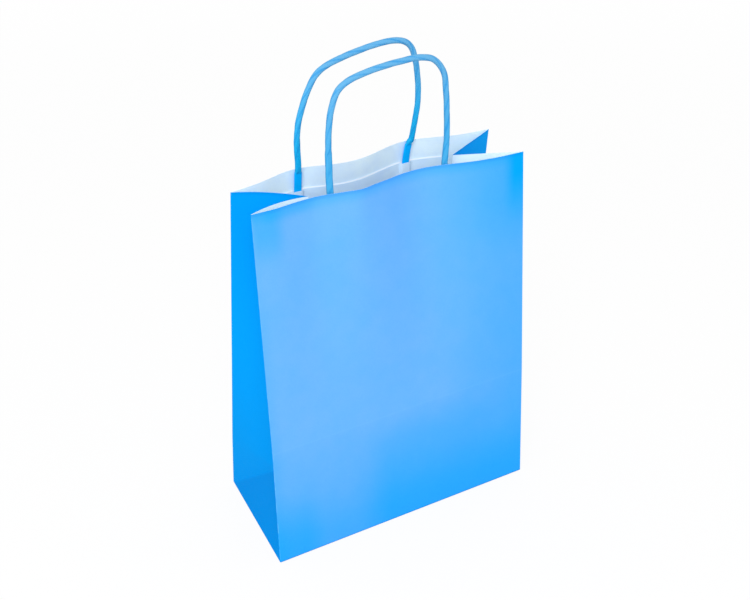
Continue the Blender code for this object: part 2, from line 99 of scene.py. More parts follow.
# The handles, as in the CAD model
HANDLE_SPACING_FRONT = 0.0915
HANDLE_SPACING_BACK = 0.089
HANDLE_CENTRE_FRONT = 0.0029
HANDLE_CENTRE_BACK = -0.0039
HANDLE_RISE_FRONT = 0.0790
HANDLE_RISE_BACK = 0.0795
HANDLE_LEAN_FRONT = 0.002
HANDLE_LEAN_BACK = -0.005
END_SLANT_BACK_RIGHT = 0.0017
ROPE_DIAMETER = 0.0042
ROPE_FLAT_WIDTH = 0.0054
ROPE_FLAT_THICKNESS = 0.0016
ROPE_TURN_RUN = 0.020
ROPE_END_DEPTH = 0.038
STRIP_PAPER = 0.0002
STRIP_DROP = 0.0155
STRIP_MARGIN = 0.029
STRIP_SHOULDER = 0.0022
STRIP_FOOT = 0.010
TOUCH_GAP = 0.0003
RIM_CLEARANCE = 0.0006
STRIP_BED = 2 * TOUCH_GAP + STRIP_PAPER

# Points of each loop: the share of the way from the left leg to the right one, and of the rise
LOOP_FRONT = (
    (-0.003, 0.119), (-0.002, 0.248), (-0.001, 0.378), (0.008, 0.547), (0.032, 0.706), (0.082, 0.843),
    (0.154, 0.908), (0.282, 0.952), (0.444, 0.981), (0.607, 0.996), (0.758, 0.997), (0.879, 0.957),
    (0.967, 0.839), (0.994, 0.672), (1.008, 0.448), (1.013, 0.249), (1.004, 0.078),
)
LOOP_BACK = (
    (0.001, 0.080), (-0.005, 0.221), (-0.001, 0.360), (0.015, 0.469), (0.070, 0.657), (0.135, 0.798),
    (0.202, 0.868), (0.319, 0.917), (0.485, 0.958), (0.652, 0.985), (0.781, 0.991), (0.869, 0.978),
    (0.936, 0.942), (0.986, 0.873), (1.026, 0.735), (1.055, 0.540), (1.061, 0.359), (1.039, 0.158),
    (1.020, 0.024),
)

# Finer shape of the sheet: round folds, soft dents all over, and upright flutes below the rim
FOLD_RADIUS = 0.0009
DENT_SIZE = 0.048
DENT_PUSH = 0.0004
FLUTE_SIZE = 0.016
FLUTE_PUSH = 0.00035
FLUTE_REACH = 0.060
FLUTE_SLENDERNESS = 0.2
FLUTE_SEED = 7.3
QUIET_EDGE = 0.012
SMALL_WAVE_FADE = 8

# The twist of the rope: folds of the rolled paper that wind round it, and wrinkles in them
ROPE_LOBES = 3
ROPE_TWIST = 0.044
ROPE_GROOVE = 0.00010
ROPE_WANDER = 0.8
WRINKLES_ROUND = 1.6
WRINKLE_LENGTH = 0.009
WRINKLE_SEED = 5

# Other than in the CAD model, the pressed ends are squarer and turn round sooner, and the covers
# start just below the backings
ROPE_PRESS_RUN = 0.0022
PRESS_SQUARENESS = 0.35
COVER_SET_BACK = 0.0007

# Above the rim a leg of the rope stays a little flat: how high, and by what share
PART_PRESS_RUN = 0.0025
PART_PRESS = {
    (FRONT, LEFT): (0.027, 0.50),
    (FRONT, RIGHT): (0.014, 0.25),
    (BACK, LEFT): (0.022, 0.25),
    (BACK, RIGHT): (0.004, 0.20),
}

# How finely the meshes are divided
FOLD_STEPS = 4
COLUMN_STEP = 0.003
ROW_STEP = 0.003
GUSSET_CELLS = 16
STEP_RUN = 0.00005
PLACE_DIGITS = 7
CURVE_STEPS = 24
ROPE_SIDES = 30
ROPE_RING = 0.0008
STRIP_COLUMN = 0.002
STRIP_ROWS = 14

# A short way along the sheet, to find which way it faces
NUDGE = 0.001

# Edges that turn by more degrees than this stay sharp
BAG_SHARP_ANGLE = 14
ROPE_SHARP_ANGLE = 50
STRIP_SHARP_ANGLE = 40

# Material slots of the bag's mesh
OUTSIDE = 0
INSIDE = 1
CUT_EDGE = 2

# Colours
DEEP_BLUE = srgb(0, 153, 231)
# The pale blue is painted sheen, laid over the deep blue on the panels
SHEEN_BLUE = srgb(102, 165, 248)
# The shaded blue is painted shade, and also the colour of small darker specks
SHADED_BLUE = srgb(0, 98, 184)
# This paler blue is painted highlight along the upright folds, and also a faint paler line at the imprint
FOLD_HIGHLIGHT_BLUE = srgb(140, 208, 255)
ROPE_LOW_FRONT = srgb(62, 156, 208)
ROPE_LOW_BACK = srgb(16, 164, 220)
ROPE_HIGH = srgb(92, 160, 205)
# This darker rope blue is painted shade in the grooves, shifted either way by random streaks
ROPE_SHADED_BLUE = srgb(20, 132, 200)
ROPE_FLAT = srgb(0, 176, 255)
# The inner paper is white; its bluish tint is painted light, the blue light that comes through and off the
# blue paper
INNER_WHITE = srgb(228, 246, 255)
INNER_SHADE = srgb(216, 237, 255)
# The backing is painted a brighter white than the cover, partly as painted highlight: it shows as a thin
# bright line along the strips' top edge
BACKING_WHITE = srgb(250, 252, 255)
BACKING_SHADE = srgb(244, 248, 255)
COVER_WHITE = srgb(217, 239, 255)
COVER_SHADE = srgb(207, 231, 255)
EDGE_WHITE = srgb(238, 246, 255)
EDGE_SHADE = srgb(200, 228, 252)

# Each paper's gloss, the range of its roughness, and the depths of its fibres and ribs
BLUE_SURFACE = {"specular": 0.02, "roughness": (0.50, 0.62), "relief": (0.00003, 0.00002)}
WHITE_SURFACE = {"specular": 0.25, "roughness": (0.68, 0.82), "relief": (0.00004, 0.00002)}
ROPE_SURFACE = {"specular": 0.10, "roughness": (0.48, 0.62), "relief": (0.00004, 0.00001)}

# Each grain: its cells in a metre, its detail and, where it is drawn out, its stretch
GRAIN_ROUGHNESS = 0.55
FIBRE_GRAIN = (1500, 4.0)
RIB_GRAIN = (700, 2.0, (1.0, 1.0, 0.04))
GLOSS_GRAIN = (260, 3.0)
BROAD_MOTTLE_GRAIN = (22, 3.0)
FINE_MOTTLE_GRAIN = (75, 3.0)
SPECK_GRAIN = (900, 3.0)
# The next grain breaks the painted fold highlight into patches
HIGHLIGHT_PATCH_GRAIN = (160, 3.0)
CLOUD_GRAIN = (60, 4.0)
PULP_GRAIN = (1100, 4.0)
STREAK_GRAIN = (420, 3.0)

# Each fade: the two values that it runs between and, where they aren't 0 and 1, its amounts there.
# These run over the values of a grain.
GLOSS_SPAN = (0.3, 0.7)
BROAD_MOTTLE = (0.3, 0.7, 0.94, 1.05)
FINE_MOTTLE = (0.3, 0.7, -0.04, 0.04)
SPECKS = (0.35, 0.7, 0.0, 0.05)
# The next fade breaks the painted fold highlight into patches
HIGHLIGHT_PATCHES = (0.40, 0.65)
CLOUDS = (0.3, 0.7)
PULP = (0.4, 0.75, 0.0, 0.35)
STREAKS = (0.3, 0.7, -0.12, 0.12)

# On the blue paper: painted shade and highlights, and a paler imprint line, over the height or the way from
# an edge or the imprint
LOW_SHADE = (0.0, 0.200, 0.22, 0.0)
FOOT_SHADE = (0.0003, 0.0016, 0.75, 0.0)
RIM_SHADE = (0.2768, 0.2790, 0.0, 0.20)
IMPRINT_LINE = (0.0002, 0.0011, 0.035, 0.0)
FOLD_HIGHLIGHT = (0.0002, 0.0010, 0.30, 0.0)
END_SHADE = 0.20

# The rope gets paler over the height of its loop, and painted shade makes it deeper over the depth of its
# grooves
LOOP_PALENESS = (0.1, 1.0)
GROOVE_SHADE = (0.1, 1.1, 0.0, 0.55)

# The pale cast of the panels, a painted sheen, over the share of the width or over the height
PALEST = 0.88
BACK_SHEEN = 0.55
LEFT_EDGE = (-0.03, 0.07, 0.60, 1.0)
LEFT_DIP = 0.50
LEFT_DIP_RISE = (0.02, 0.06)
LEFT_DIP_FALL = (0.10, 0.16)
LEFT_DIP_HEIGHT = (0.235, 0.265)
LEFT_RIM = 0.35
LEFT_RIM_RISE = (0.06, 0.10)
LEFT_RIM_FALL = (0.20, 0.30)
LEFT_RIM_HEIGHT = (0.268, 0.276)
UPPER_PART = (0.200, 0.250)
LOWER_PART = (0.060, 0.105)
RIGHT_LOW = (0.58, 1.0, 1.0, 0.62)
RIGHT_HIGH = (0.56, 0.96, 1.0, 0.40)
RIGHT_CORNER = (0.905, 0.96)
RIGHT_CORNER_HEIGHT = (0.220, 0.268)
RIM_HEIGHT = (0.270, 0.279, 1.0, 0.60)
FOOT_LEFT = ((0.010, 0.082, 0.19, 0.90), (0.082, 0.105, 0.0, 0.10))
FOOT_MIDDLE = ((0.010, 0.070, 0.44, 0.88), (0.080, 0.105, 0.0, 0.12))
FOOT_RIGHT = ((0.010, 0.090, 0.16, 0.62), (0.070, 0.106, 0.0, 0.38))
FOOT_LEFT_TO_MIDDLE = (0.10, 0.20)
FOOT_MIDDLE_TO_RIGHT = (0.27, 0.46)

# Floor and light
FLOOR_REACH = 6.0
FLOOR_GREY = (0.80, 0.80, 0.80, 1.0)
FLOOR_ROUGHNESS = 0.9
FLOOR_SPECULAR = 0.1
FLOOR_WHITENESS = 0.92
SHADOW_REACH = 0.6
WHITE_REACH = 2.0
WORLD_WHITE = (1.0, 1.0, 1.0, 1.0)
WORLD_LIGHT = 0.88
KEY_ENERGY = 21.0
KEY_SIZE = 1.2
KEY_PLACE = Vector((-0.78, -1.17, 1.34))
KEY_AIM = Vector((0.0, 0.0, 0.16))

# The camera stands in front, to the left and above
CAMERA_YAW = math.radians(27.82)
CAMERA_PITCH = math.radians(32.425)
CAMERA_DISTANCE = 0.7994
CAMERA_AIM_RIGHT = -0.0024
CAMERA_AIM_UP = 0.1474
CAMERA_LENS = 45.72
CAMERA_SENSOR = 36.0


def mix(a, b, share):
    return a + (b - a) * share


def ease(share):
    """A smooth step from 0 to 1, and level outside them."""
    share = min(max(share, 0.0), 1.0)
    return share * share * (3 - 2 * share)


# Where the sheet goes.  Heights are measured along the paper, from the bottom fold up.


def edge_x(side, height):
    """The upright edges lean inwards a little on their way up."""
    inset = TOP_INSET_LEFT if side == LEFT else TOP_INSET_RIGHT
    return side * (HALF_WIDTH - inset * height / BAG_HEIGHT)


def top_y(face, side):
    """Where an upright edge stands at the rim, from front to back."""
    if side == LEFT:
        return face * MOUTH_LEFT / 2 + MOUTH_SHIFT_LEFT
    return face * MOUTH_RIGHT / 2 + MOUTH_SHIFT_RIGHT


def crease_height(face):
    """The front keeps the imprint of the folded-up bottom, the back the fold itself."""
    return IMPRINT_HEIGHT if face == FRONT else FOLD_HEIGHT


def crease_y(face, side):
    """Where an upright edge stands at the panel's crease, a little outside a straight line."""
    straight = mix(face * HALF_DEPTH, top_y(face, side), crease_height(face) / BAG_HEIGHT)
    if face == BACK:
        return straight + CREASE_PUSH_BACK
    return straight - (CREASE_PUSH_FRONT_LEFT if side == LEFT else CREASE_PUSH_FRONT_RIGHT)


def rim_wave(face, share):
    """Push of the rim towards the back, less what would move its two corners."""
    waves = FRONT_WAVES if face == FRONT else BACK_WAVES

    def raw(x):
        return sum(push * math.exp(-(((x - place) / reach) ** 2)) for place, reach, push in waves)

    return raw(mix(-HALF_WIDTH, HALF_WIDTH, share)) - mix(raw(-HALF_WIDTH), raw(HALF_WIDTH), share)


def buckle(face, x, height):
    """Small unevenness of a panel: soft dents all over it, and upright flutes below the rim."""
    share = x / BAG_WIDTH + 0.5
    quiet = ease(min(share, 1 - share) * BAG_WIDTH / QUIET_EDGE)
    place = Vector((x, face * BAG_DEPTH, height))
    dents = noise.noise(place / DENT_SIZE) * DENT_PUSH * ease(height / FOLD_HEIGHT)
    near_rim = ease(1 - (BAG_HEIGHT - height) / FLUTE_REACH)
    upright = FLUTE_SLENDERNESS * height / FLUTE_SIZE
    flutes = noise.noise(Vector((x / FLUTE_SIZE, FLUTE_SEED * face, upright))) * FLUTE_PUSH
    return quiet * (dents + flutes * near_rim)


def panel_point(face, share, height):
    """A point of the front or back panel; share is 0 at its left edge and 1 at its right."""
    bend = crease_height(face)
    foot = face * HALF_DEPTH
    waist = mix(crease_y(face, LEFT), crease_y(face, RIGHT), share)
    rim = mix(top_y(face, LEFT), top_y(face, RIGHT), share) + rim_wave(face, share)
    waist_z = math.sqrt(bend**2 - (waist - foot) ** 2)
    x = mix(edge_x(LEFT, height), edge_x(RIGHT, height), share)
    if height <= bend:
        part = height / bend
        return Vector((x, mix(foot, waist, part), waist_z * part))
    rim_rise = math.sqrt((BAG_HEIGHT - bend) ** 2 - (rim - waist) ** 2)
    part = (height - bend) / (BAG_HEIGHT - bend)
    return Vector((x, mix(waist, rim, part), waist_z + rim_rise * part))


def settle_small_wave(face, x, height):
    """The narrow wave of the front's rim dies out just below it, sooner than the wide ones."""
    if face == BACK or height <= IMPRINT_HEIGHT:
        return 0.0
    place, reach, push = FRONT_SMALL_WAVE
    part = (height - IMPRINT_HEIGHT) / (BAG_HEIGHT - IMPRINT_HEIGHT)
    return push * math.exp(-(((x - place) / reach) ** 2)) * (part**SMALL_WAVE_FADE - part)


def worn_panel_point(face, share, height):
    """A point of a panel with its small unevenness."""
    point = panel_point(face, share, height)
    x = (share - 0.5) * BAG_WIDTH
    point.y += buckle(face, x, height) + settle_small_wave(face, x, height)
    return point


def folded_edge(face, side, height):
    """A point of one of the four upright edges."""
    return panel_point(face, 0.0 if side == LEFT else 1.0, height)


def valley_depth(side, height):
    """Each half of a gusset keeps its width: the closer its edges, the deeper it folds in."""
    gap = folded_edge(BACK, side, height).y - folded_edge(FRONT, side, height).y
    return math.sqrt(HALF_DEPTH**2 - (gap / 2) ** 2)


def middle_y(side, height):
    """Half way between a side's two upright edges."""
    return (folded_edge(FRONT, side, height).y + folded_edge(BACK, side, height).y) / 2


def apex(side):
    """The point where a gusset's two diagonal creases and its middle crease meet."""
    depth = valley_depth(side, FOLD_HEIGHT)
    rise = math.sqrt(FOLD_HEIGHT**2 - depth**2)
    return Vector((edge_x(side, FOLD_HEIGHT) - side * depth, middle_y(side, FOLD_HEIGHT), rise))


def valley(side, height):
    """The middle crease of a gusset, above its apex."""
    part = (height - FOLD_HEIGHT) / (BAG_HEIGHT - FOLD_HEIGHT)
    run = valley_depth(side, BAG_HEIGHT) - valley_depth(side, FOLD_HEIGHT)
    rise = math.sqrt((BAG_HEIGHT - FOLD_HEIGHT) ** 2 - run**2)
    shift = (VALLEY_SHIFT_LEFT if side == LEFT else VALLEY_SHIFT_RIGHT) * part
    x = edge_x(side, height) - side * valley_depth(side, height)
    return Vector((x, middle_y(side, height) + shift, apex(side).z + rise * part))


def gusset_point(side, run, height):
    """A point of a side gusset; run is 0 at its front edge and BAG_DEPTH at its back edge."""
    face = FRONT if run < HALF_DEPTH else BACK
    inward = run if face == FRONT else BAG_DEPTH - run
    tip = apex(side)
    if height <= inward and height < FOLD_HEIGHT:
        foot = Vector((side * HALF_WIDTH, run - HALF_DEPTH, 0.0))
        middle = Vector((side * HALF_WIDTH, 0.0, 0.0))
        return foot + (tip - middle) * (height / FOLD_HEIGHT)
    edge = folded_edge(face, side, height)
    if height < FOLD_HEIGHT:
        corner = Vector((side * HALF_WIDTH, face * HALF_DEPTH, 0.0))
        diagonal = corner.lerp(tip, height / FOLD_HEIGHT)
        return edge.lerp(diagonal, inward / height)
    share = inward / HALF_DEPTH
    point = edge.lerp(valley(side, height), share)
    if side == LEFT:
        part = (height - FOLD_HEIGHT) / (BAG_HEIGHT - FOLD_HEIGHT)
        point.y += GUSSET_BOW_LEFT * part * 4 * share * (1 - share)
    return point


def sheet_point(run, height):
    """A point of the folded sheet, by its distance on the way round from the front left edge."""
    run %= ROUND
    if run <= FRONT_END:
        return worn_panel_point(FRONT, run / BAG_WIDTH, height)
    if run < RIGHT_END:
        return gusset_point(RIGHT, run - FRONT_END, height)
    if run <= BACK_END:
        return worn_panel_point(BACK, 1 - (run - RIGHT_END) / BAG_WIDTH, height)
    return gusset_point(LEFT, BAG_DEPTH - (run - BACK_END), height)


def bent(before, corner, after, share):
    """A point on the small round bend that takes the place of a sharp corner."""
    return before * (1 - share) ** 2 + corner * (2 * share * (1 - share)) + after * share**2


def round_point(run, height):
    """A point of the sheet, with every upright fold rounded."""
    fold = min(FOLDS, key=lambda place: abs(run - place))
    if abs(run - fold) >= FOLD_RADIUS:
        return sheet_point(run, height)
    share = (run - fold) / (2 * FOLD_RADIUS) + 0.5
    before = sheet_point(fold - FOLD_RADIUS, height)
    after = sheet_point(fold + FOLD_RADIUS, height)
    return bent(before, sheet_point(fold, height), after, share)


def foot_point(run, height):
    """A point of the wall's lowest part, which bends in under the bag."""
    share = height / FOLD_RADIUS
    corner = round_point(run, 0.0)
    under = Vector((corner.x * (1 - FOLD_RADIUS / HALF_WIDTH), corner.y * (1 - FOLD_RADIUS / HALF_DEPTH), 0))
    return bent(under, corner, round_point(run, FOLD_RADIUS), share)


def wall_point(run, height):
    return foot_point(run, height) if height < FOLD_RADIUS else round_point(run, height)


# The bag: one sheet, with an outer and an inner skin that are joined at the rim


def ring_runs():
    """Places of the columns on the way round: even steps, close together at every fold."""
    fixed = {0.0, FRONT_END, RIGHT_END, BACK_END}
    for start in (FRONT_END, BACK_END):
        fixed |= {start + i * HALF_DEPTH / GUSSET_CELLS for i in range(2 * GUSSET_CELLS + 1)}
    for fold in FOLDS[:-1]:
        bend = [(i / FOLD_STEPS * 2 - 1) * FOLD_RADIUS for i in range(FOLD_STEPS + 1)]
        fixed |= {(fold + offset) % ROUND for offset in bend}
    for start, end in ((0.0, FRONT_END), (RIGHT_END, BACK_END)):
        fixed |= {start + FLAP_LENGTH, end - FLAP_LENGTH}
    fixed |= {BACK_END - SEAM_LAP, BACK_END - SEAM_LAP - STEP_RUN}
    fixed = {round(place, PLACE_DIGITS) for place in fixed if place < ROUND - STEP_RUN}
    even = []
    for start, end in ((0.0, FRONT_END), (RIGHT_END, BACK_END)):
        count = round((end - start) / COLUMN_STEP)
        even += [mix(start, end, i / count) for i in range(1, count)]
    # An even column that would crowd a fixed one is left out
    clear = [place for place in even if min(abs(place - other) for other in fixed) > COLUMN_STEP / 3]
    return sorted(fixed | set(clear))


def columns_at(runs, places):
    """Which columns stand at these places on the way round."""
    return [runs.index(round(place, PLACE_DIGITS)) for place in places]


def row_heights():
    """Heights of the rows: the bend at the foot, the cells of the creased part, then even steps."""
    foot = [FOLD_RADIUS * i / FOLD_STEPS for i in range(FOLD_STEPS + 1)]
    low = [FOLD_HEIGHT * (i + 1) / GUSSET_CELLS for i in range(GUSSET_CELLS)]
    middle_count = round((IMPRINT_HEIGHT - FOLD_HEIGHT) / ROW_STEP)
    middle = [mix(FOLD_HEIGHT, IMPRINT_HEIGHT, (i + 1) / middle_count) for i in range(middle_count)]
    high_count = round((BAG_HEIGHT - IMPRINT_HEIGHT) / ROW_STEP)
    high = [mix(IMPRINT_HEIGHT, BAG_HEIGHT, (i + 1) / high_count) for i in range(high_count)]
    return foot + low + middle + high


def seam_lift(run):
    """The glued lap lies on the back panel, beside its left edge, as a second thickness."""
    return PAPER if BACK_END - SEAM_LAP - STEP_RUN / 2 < run < BACK_END else 0.0


def foot_level(run):
    """How high the wall starts: the flaps of the bottom lie on each other in three layers."""
    if run <= FRONT_END:
        return 0.0
    if RIGHT_END <= run <= BACK_END:
        return PAPER
    return 2 * PAPER


def wall_normals(places):
    """Outward offset for each point of the wall, lengthened where the sheet is creased."""
    bm = bmesh.new()
    grid = [[bm.verts.new(point) for point in row] for row in places]
    for low, high in zip(grid, grid[1:]):
        for i in range(len(low)):
            j = (i + 1) % len(low)
            bm.faces.new((low[i], low[j], high[j], high[i]))
    bm.normal_update()
    normals = [[vert.normal * vert.calc_shell_factor() for vert in row] for row in grid]
    bm.free()
    return normals


def add_wall(bm, grid, heights, runs, slot):
    """Faces between the rows of a skin; the cells on a gusset's diagonal crease are cut along it."""
    count = len(runs)
    for row in range(len(grid) - 1):
        top, bottom = heights[row + 1], heights[row]
        for i in range(count):
            j = (i + 1) % count
            low, low_next, high_next, high = grid[row][i], grid[row][j], grid[row + 1][j], grid[row + 1][i]
            slant = crease_slant(runs[i], runs[j], bottom, top)
            if slant > 0:
                faces = ((low, low_next, high_next), (low, high_next, high))
            elif slant < 0:
                faces = ((low, low_next, high), (low_next, high_next, high))
            else:
                faces = ((low, low_next, high_next, high),)
            for corners in faces:
                bm.faces.new(corners).material_index = slot


def crease_slant(start, end, bottom, top):
    """1 or -1 where a diagonal crease rises or falls through a cell, else 0."""
    for first in (FRONT_END, BACK_END):
        near, far = start - first, (end if end > start else ROUND) - first
        if near >= 0 and far <= HALF_DEPTH + STEP_RUN and near < top and far > bottom:
            return 1
        near, far = 2 * HALF_DEPTH - near, 2 * HALF_DEPTH - far
        if far >= 0 and near <= HALF_DEPTH + STEP_RUN and far < top and near > bottom:
            return -1
    return 0


def add_underside(bm, foot, corners):
    """The bottom from outside: front flap lowest, back flap under it, end triangles under both."""
    front_right, back_right, back_left = corners
    end_x = HALF_WIDTH - HALF_DEPTH
    tab_x = HALF_WIDTH - FLAP_LENGTH
    cross = {}
    tab = {}
    for side in (LEFT, RIGHT):
        cross[side] = [bm.verts.new((side * end_x, 0.0, k * PAPER)) for k in range(3)]
        tab[side] = [bm.verts.new((side * tab_x, FLAP_OVERLAP / 2, k * PAPER)) for k in range(2)]
    front = foot[:front_right + 1]
    right = foot[front_right:back_right + 1]
    back = foot[back_right:back_left + 1]
    left = foot[back_left:] + foot[:1]
    faces = [
        front + [cross[RIGHT][0], tab[RIGHT][0], tab[LEFT][0], cross[LEFT][0]],
        back + [cross[LEFT][1], tab[LEFT][1], tab[RIGHT][1], cross[RIGHT][1]],
        right + [cross[RIGHT][2]],
        left + [cross[LEFT][2]],
        [tab[LEFT][0], tab[RIGHT][0], tab[RIGHT][1], tab[LEFT][1]],
    ]
    for side, front_corner, back_corner in ((LEFT, front[0], back[-1]), (RIGHT, front[-1], back[0])):
        faces.append([front_corner] + cross[side])
        faces.append([cross[side][0], tab[side][0], tab[side][1], cross[side][1]])
        faces.append([cross[side][1], back_corner, cross[side][2]])
    for corners in faces:
        bm.faces.new(corners).material_index = OUTSIDE


def add_floor(bm, foot, front_flaps, back_flaps):
    """The bottom from inside: both end flaps on top, and the long flaps' lap between them."""
    front_left, front_right = front_flaps
    back_right, back_left = back_flaps
    lap_y = -FLAP_OVERLAP / 2
    stairs = {}
    for side, index in ((LEFT, front_left), (RIGHT, front_right)):
        x = foot[index].co.x
        stairs[side] = [bm.verts.new((x, lap_y, level * PAPER)) for level in (1, 2, 3)]

    def lowered(verts, level):
        return [bm.verts.new((v.co.x, v.co.y, level * PAPER)) for v in verts]

    front = foot[front_left:front_right + 1]
    back = foot[back_right:back_left + 1]
    front_low = lowered(front, 1)
    back_low = lowered(back, 2)
    faces = [
        foot[front_right:back_right + 1] + [stairs[RIGHT][2]],
        foot[back_left:] + foot[:front_left + 1] + [stairs[LEFT][2]],
        front_low + [stairs[RIGHT][0], stairs[LEFT][0]],
        back_low + [stairs[LEFT][1], stairs[RIGHT][1]],
        [stairs[LEFT][0], stairs[RIGHT][0], stairs[RIGHT][1], stairs[LEFT][1]],
    ]
    for high, low in ((front, front_low), (back, back_low)):
        for i in range(len(high) - 1):
            faces.append([high[i], high[i + 1], low[i + 1], low[i]])
    for side, near, far in ((LEFT, 0, -1), (RIGHT, -1, 0)):
        faces.append([front_low[near]] + stairs[side] + [front[near]])
        faces.append([back_low[far], stairs[side][1], stairs[side][2], back[far]])
    for corners in faces:
        bm.faces.new(corners).material_index = INSIDE


def finish_mesh(name, bm, materials, sharp_angle):
    """The finished piece, smooth apart from its sharp edges."""
    mesh = bpy.data.meshes.new(name)
    bmesh.ops.recalc_face_normals(bm, faces=bm.faces)
    bm.to_mesh(mesh)
    bm.free()
    for material in materials:
        mesh.materials.append(material)
    mesh.shade_smooth()
    mesh.set_sharp_from_angle(angle=math.radians(sharp_angle))
    piece = bpy.data.objects.new(name, mesh)
    bpy.context.collection.objects.link(piece)
    return piece


def way_to_edge(run):
    """How far a point is from the nearest of the four upright edges."""
    return min(abs(run - edge) for edge in (0.0, FRONT_END, RIGHT_END, BACK_END, ROUND))


def panel_sheen(run):
    """How much of the pale cast, a painted sheen, a face has: all on the front, some on the back, none on
    the sides.
    """
    if run <= FRONT_END:
        return 1.0
    return BACK_SHEEN if RIGHT_END <= run <= BACK_END else 0.0


def in_end_triangle(run, height):
    """1 on the flat triangle at a gusset's foot, 0 on the rest of the sheet."""
    for first in (FRONT_END, BACK_END):
        inward = min(run - first, first + BAG_DEPTH - run)
        if inward > 0 and height < inward - STEP_RUN:
            return 1.0
    return 0.0


def make_bag(materials):
    """The folded sheet, closed at its bottom."""
    runs = ring_runs()
    heights = row_heights()
    places = [[wall_point(run, height) for run in runs] for height in heights]
    for row, height in zip(places, heights):
        lowered = max(1 - height / FOLD_RADIUS, 0.0) ** 2
        for point, run in zip(row, runs):
            point.z += foot_level(run) * lowered
    normals = wall_normals(places)
    bm = bmesh.new()
    names = ("edge", "across", "up", "front", "panel", "triangle")
    layers = {name: bm.verts.layers.float.new(name) for name in names}

    def add_point(place, run, height):
        """A point of the mesh with the marks that the materials read."""
        vert = bm.verts.new(place)
        vert[layers["edge"]] = way_to_edge(run)
        vert[layers["across"]] = place.x / BAG_WIDTH + 0.5
        vert[layers["up"]] = height
        vert[layers["front"]] = 1.0 if run <= FRONT_END else 0.0
        # The panel mark says how much painted sheen a face takes
        vert[layers["panel"]] = panel_sheen(run)
        vert[layers["triangle"]] = in_end_triangle(run, height)
        return vert

    outer = []
    for height, row, offsets in zip(heights, places, normals):
        outer.append([
            add_point(place + offset.normalized() * seam_lift(run), run, height)
            for run, place, offset in zip(runs, row, offsets)
        ])
    inner = []
    start = heights.index(FOLD_RADIUS)
    for height, row, offsets in zip(heights[start:], places[start:], normals[start:]):
        inner.append([
            add_point(place - offset * PAPER, run, height)
            for run, place, offset in zip(runs, row, offsets)
        ])
    floor_ring = []
    for run, vert in zip(runs, inner[0]):
        floor_ring.append(add_point(Vector((vert.co.x, vert.co.y, FLOOR_TOP)), run, 0.0))
    inner.insert(0, floor_ring)
    add_wall(bm, outer, heights, runs, OUTSIDE)
    add_wall(bm, inner, [0.0] + heights[start:], runs, INSIDE)
    for i in range(len(runs)):
        j = (i + 1) % len(runs)
        rim = bm.faces.new((outer[-1][i], outer[-1][j], inner[-1][j], inner[-1][i]))
        rim.material_index = CUT_EDGE
    add_underside(bm, outer[0], columns_at(runs, (FRONT_END, RIGHT_END, BACK_END)))
    front_flaps = columns_at(runs, (FLAP_LENGTH, FRONT_END - FLAP_LENGTH))
    back_flaps = columns_at(runs, (RIGHT_END + FLAP_LENGTH, BACK_END - FLAP_LENGTH))
    add_floor(bm, inner[0], front_flaps, back_flaps)
    return finish_mesh("folded_bag", bm, materials, BAG_SHARP_ANGLE)


# The handles


def inside_point(face, x, drop, lift):
    """A point over a panel's inner face: place along the width, depth below the rim, distance."""
    height = BAG_HEIGHT - drop
    share = (x - edge_x(LEFT, height)) / (edge_x(RIGHT, height) - edge_x(LEFT, height))
    along = panel_point(face, share + NUDGE, height) - panel_point(face, share - NUDGE, height)
    up = panel_point(face, share, height) - panel_point(face, share, height - NUDGE)
    normal = along.cross(up).normalized()
    if normal.y * face > 0:
        normal.negate()
    return worn_panel_point(face, share, height) + normal * (PAPER + lift)


def panel_facing(face, x, drop):
    """Direction square to the panel, on whichever side points to the back of the bag."""
    return (inside_point(face, x, drop, NUDGE) - inside_point(face, x, drop, 0.0)).normalized() * -face


def handle_rise(face):
    return HANDLE_RISE_FRONT if face == FRONT else HANDLE_RISE_BACK


def handle_legs(face):
    """Places along the width of the two ends that the strips hold."""
    centre = HANDLE_CENTRE_FRONT if face == FRONT else HANDLE_CENTRE_BACK
    spacing = HANDLE_SPACING_FRONT if face == FRONT else HANDLE_SPACING_BACK
    return centre - spacing / 2, centre + spacing / 2


def rope_route(face):
    """Points of the rope's middle line, from one pressed end over the loop to the other."""
    flat_lift = STRIP_BED + ROPE_FLAT_THICKNESS / 2
    round_lift = ROPE_DIAMETER / 2 + RIM_CLEARANCE
    left_x, right_x = handle_legs(face)
    drops = (STRIP_DROP + ROPE_END_DEPTH, STRIP_DROP + ROPE_END_DEPTH / 2, STRIP_DROP)

    def foot(x, slant):
        pressed = [inside_point(face, x, drop, flat_lift) for drop in drops]
        return pressed + [inside_point(face, x + slant, 0.0, round_lift)]

    left = foot(left_x, 0.0)
    right = foot(right_x, END_SLANT_BACK_RIGHT if face == BACK else 0.0)
    lean = HANDLE_LEAN_FRONT if face == FRONT else HANDLE_LEAN_BACK
    loop = []
    for across, up in LOOP_FRONT if face == FRONT else LOOP_BACK:
        base = left[-1].lerp(right[-1], across)
        loop.append(base + Vector((0.0, lean * up, handle_rise(face) * up)))
    return left + loop + right[::-1]


def smooth_line(points, spacing):
    """Even steps along a smooth curve through the points."""
    count = len(points)
    headings = [points[min(i + 1, count - 1)] - points[max(i - 1, 0)] for i in range(count)]
    dense = []
    for i in range(count - 1):
        reach = (points[i + 1] - points[i]).length / 3
        start = points[i] + headings[i].normalized() * reach
        end = points[i + 1] - headings[i + 1].normalized() * reach
        dense += interpolate_bezier(points[i], start, end, points[i + 1], CURVE_STEPS)[:-1]
    dense.append(points[-1])
    lengths = [0.0]
    for a, b in zip(dense, dense[1:]):
        lengths.append(lengths[-1] + (b - a).length)
    steps = round(lengths[-1] / spacing)
    even = []
    k = 0
    for i in range(steps + 1):
        target = lengths[-1] * i / steps
        while k < len(dense) - 2 and lengths[k + 1] < target:
            k += 1
        even.append(dense[k].lerp(dense[k + 1], (target - lengths[k]) / (lengths[k + 1] - lengths[k])))
    return even


